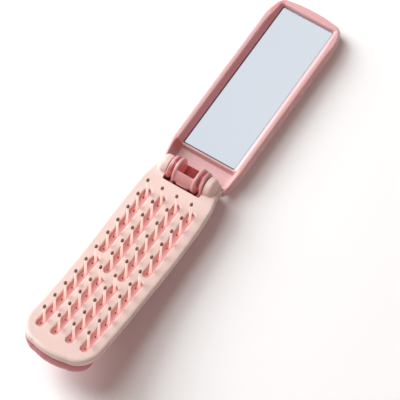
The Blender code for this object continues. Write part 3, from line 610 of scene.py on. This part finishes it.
def well_sections(corner):
    """Sections of a curved groove that narrows towards both ends."""
    middle = (WELL_OUTER + WELL_INNER) / 2
    sections = []
    for k in range(WELL_STEPS + 1):
        angle = WELL_FROM + (WELL_TO - WELL_FROM) * k / WELL_STEPS
        pinch = WELL_END_WIDTH + (1 - WELL_END_WIDTH) * math.sin(math.pi * k / WELL_STEPS)
        half = (WELL_OUTER - WELL_INNER) / 2 * pinch
        sections.append([
            corner(middle - half, angle, -WELL_DEPTH), corner(middle + half, angle, -WELL_DEPTH),
            corner(middle + half, angle, WELL_DEPTH), corner(middle - half, angle, WELL_DEPTH),
        ])
    return sections


def hole_rings(corner):
    return [
        [corner(HOLE_RADIUS, math.tau * k / HOLE_SIDES, height, HOLE_PLACE) for k in range(HOLE_SIDES)]
        for height in (-HOLE_DEPTH, WELL_DEPTH)
    ]


def carrier_with_wells():
    """The pin bed, with a curved groove and a small hole beside each pin's foot, whose insides are painted
    shade in a dark rose.
    """
    bm = bmesh.new()
    for name in PINS:
        place = Matrix.Translation(pin_base(name)[0] + UP * (PIN_ROOT + BED_RISE)) @ TILT

        def corner(radius, angle, height, aside=Vector((0, 0, 0))):
            spot = Vector((radius * math.cos(angle), radius * math.sin(angle), height)) + aside
            return bm.verts.new(place @ spot)

        closed_loft(bm, well_sections(corner))
        closed_loft(bm, hole_rings(corner))
    mesh = mesh_from(bm, "wells")
    mesh.materials.append(painted_hole_shade)
    cutter = placed("wells", mesh)
    piece = copied("pin_carrier", "moulded_pin_carrier", rose)
    raised_bed(piece.data)
    carve = piece.modifiers.new("wells", "BOOLEAN")
    carve.operation = "DIFFERENCE"
    carve.solver = "EXACT"
    carve.material_mode = "TRANSFER"
    carve.object = cutter
    bpy.context.view_layer.update()
    carved = bpy.data.meshes.new_from_object(piece.evaluated_get(bpy.context.evaluated_depsgraph_get()))
    piece.modifiers.remove(carve)
    piece.data = carved
    bpy.data.objects.remove(cutter)
    return piece


plate = softened("brush_face_plate", cream, PLATE_SHARE, face_plate)
shell = softened("brush_back_shell", pink_painted_shade, SHELL_SHARE, back_shell)
tray = softened("mirror_tray", pink_tray, TRAY_SHARE, drawn_corners)
carrier = carrier_with_wells()
for piece, node, body, finish in (
    (plate, "brush_face_plate", "brush_half", "cream_plastic"),
    (shell, "brush_back_shell", "brush_half", "pink_plastic"),
    (tray, "mirror_tray", "mirror_half", "pink_plastic"),
    (carrier, "pin_carrier", "pin_bed", "pink_plastic"),
):
    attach(piece, body)
    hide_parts(node)


# Lift springs in steel, each with a mesh of its own, on the brush half; the real springs shorten as the pin
# bed sinks
for node in ("lift_spring_1", "lift_spring_2"):
    piece = copied(node, "coil_" + node[-1], steel)
    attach(piece, "brush_half")
    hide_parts(node)
    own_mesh(piece)


# Pins with a tapered shaft and a dark ball tip that is narrower across the brush than along it
def pin_profile(centre, join):
    """Radius and height of each ring up the shaft and over the ball, and how many rings the shaft has."""
    profile = [(PIN_FOOT * FOOT_CHAMFER, 0), (PIN_FOOT, FOOT_CHAMFER_HEIGHT), (PIN_FOOT, FOOT_HEIGHT)]
    rise = centre - PIN_BALL * math.cos(join) - FOOT_HEIGHT
    for i in range(1, SHAFT_STEPS + 1):
        share = i / SHAFT_STEPS
        radius = PIN_FOOT + (PIN_NECK - PIN_FOOT) * share ** SHAFT_CURVE
        profile.append((radius, FOOT_HEIGHT + rise * share))
    shaft_rings = len(profile)
    for i in range(1, BALL_STEPS + 1):
        turn = join + (math.pi - join) * i / BALL_STEPS
        profile.append((PIN_BALL * math.sin(turn), centre - PIN_BALL * math.cos(turn)))
    return profile, shaft_rings


def pin_mesh(length):
    bm = bmesh.new()
    profile, shaft_rings = pin_profile(length - PIN_BALL, math.asin(PIN_NECK / PIN_BALL))
    turns = [math.tau * k / PIN_SIDES for k in range(PIN_SIDES)]
    rings = []
    for level, (radius, height) in enumerate(profile[:-1]):
        slim = 1.0 if level < shaft_rings else 1.0 - TIP_SLIMMING * (radius / PIN_BALL) ** 2
        rings.append([
            bm.verts.new((slim * radius * math.cos(turn), radius * math.sin(turn), height)) for turn in turns
        ])
    top = bm.verts.new((0, 0, length))
    for level, lower in enumerate(rings):
        upper = rings[level + 1] if level + 1 < len(rings) else None
        for k in range(PIN_SIDES):
            n = (k + 1) % PIN_SIDES
            beyond = (upper[n], upper[k]) if upper else (top,)
            face = bm.faces.new((lower[k], lower[n], *beyond))
            face.material_index = 1 if level >= shaft_rings - 1 else 0
            face.smooth = True
    bm.faces.new(rings[0][::-1])
    mesh = mesh_from(bm, "pin_with_ball")
    mesh.materials.append(nylon)
    mesh.materials.append(tip)
    return mesh


shared = pin_mesh(pin_base(PINS[0])[1])
for node in PINS:
    piece = placed("pin_" + node[-4:], shared)
    piece.matrix_world = Matrix.Translation(pin_base(node)[0]) @ TILT
    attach(piece, "pin_bed")
    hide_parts(node)


# Floor, which also glows a little where it is seen directly
bm = bmesh.new()
bmesh.ops.create_grid(bm, x_segments=2, y_segments=2, size=FLOOR_HALF_WIDTH)
mesh = mesh_from(bm, "floor")
floor = placed("floor", mesh)
paper, tree, shader = new_material("floor_paper", 0.9)
drifting(tree, shader, noise(tree, 3.0), ((0.955, 0.955, 0.955), (0.965, 0.965, 0.965)))
glow = tree.nodes.new("ShaderNodeEmission")
tree.links.new(calculated(tree, "MULTIPLY", seen_directly(tree), FLOOR_GLOW), glow.inputs["Strength"])
both = tree.nodes.new("ShaderNodeAddShader")
tree.links.new(shader.outputs["BSDF"], both.inputs[0])
tree.links.new(glow.outputs["Emission"], both.inputs[1])
tree.links.new(both.outputs["Shader"], tree.nodes["Material Output"].inputs["Surface"])
mesh.materials.append(paper)

# World: a dim warm light all round, seen directly as plain white
world = bpy.data.worlds.new("studio")
bpy.context.scene.world = world
world.use_nodes = True
tree = world.node_tree
surround = tree.nodes["Background"]
surround.inputs["Color"].default_value = (1.0, 0.46, 0.34, 1.0)
surround.inputs["Strength"].default_value = 0.14
plain = tree.nodes.new("ShaderNodeBackground")
plain.inputs["Color"].default_value = (1.0, 1.0, 1.0, 1.0)
plain.inputs["Strength"].default_value = 1.0
mix = tree.nodes.new("ShaderNodeMixShader")
tree.links.new(seen_directly(tree), mix.inputs["Fac"])
tree.links.new(surround.outputs["Background"], mix.inputs[1])
tree.links.new(plain.outputs["Background"], mix.inputs[2])
tree.links.new(mix.outputs["Shader"], tree.nodes["World Output"].inputs["Surface"])


# Lights, all turned to the middle of the part
def lamp(name, place, size, power, colour):
    light = bpy.data.lights.new(name, "AREA")
    light.shape = "DISK"
    light.size = size
    light.energy = power
    light.color = colour
    item = placed(name, light)
    item.location = place
    item.rotation_euler = (-Vector(place)).to_track_quat("-Z", "Y").to_euler()


lamp("key", (-1.43, 0.12, 0.92), size=1.3, power=32.5, colour=(0.93, 0.99, 1.0))
lamp("top", (-0.75, 0.0, 1.42), size=1.1, power=13.0, colour=(0.93, 0.99, 1.0))
lamp("fill", (1.2, -0.9, 0.5), size=1.0, power=1.6, colour=(1.0, 0.86, 0.8))

# Camera at the photo's view
camera = placed("camera", bpy.data.cameras.new("camera"))
camera.data.sensor_width = 36.0
camera.data.lens = 234.0
camera.data.clip_end = 20.0
camera.location = (0.29308, -0.41751, 0.96397)
camera.rotation_euler = (math.radians(27.7164), math.radians(0.9276), math.radians(32.6946))
bpy.context.scene.camera = camera

bpy.context.scene.view_settings.view_transform = "Standard"
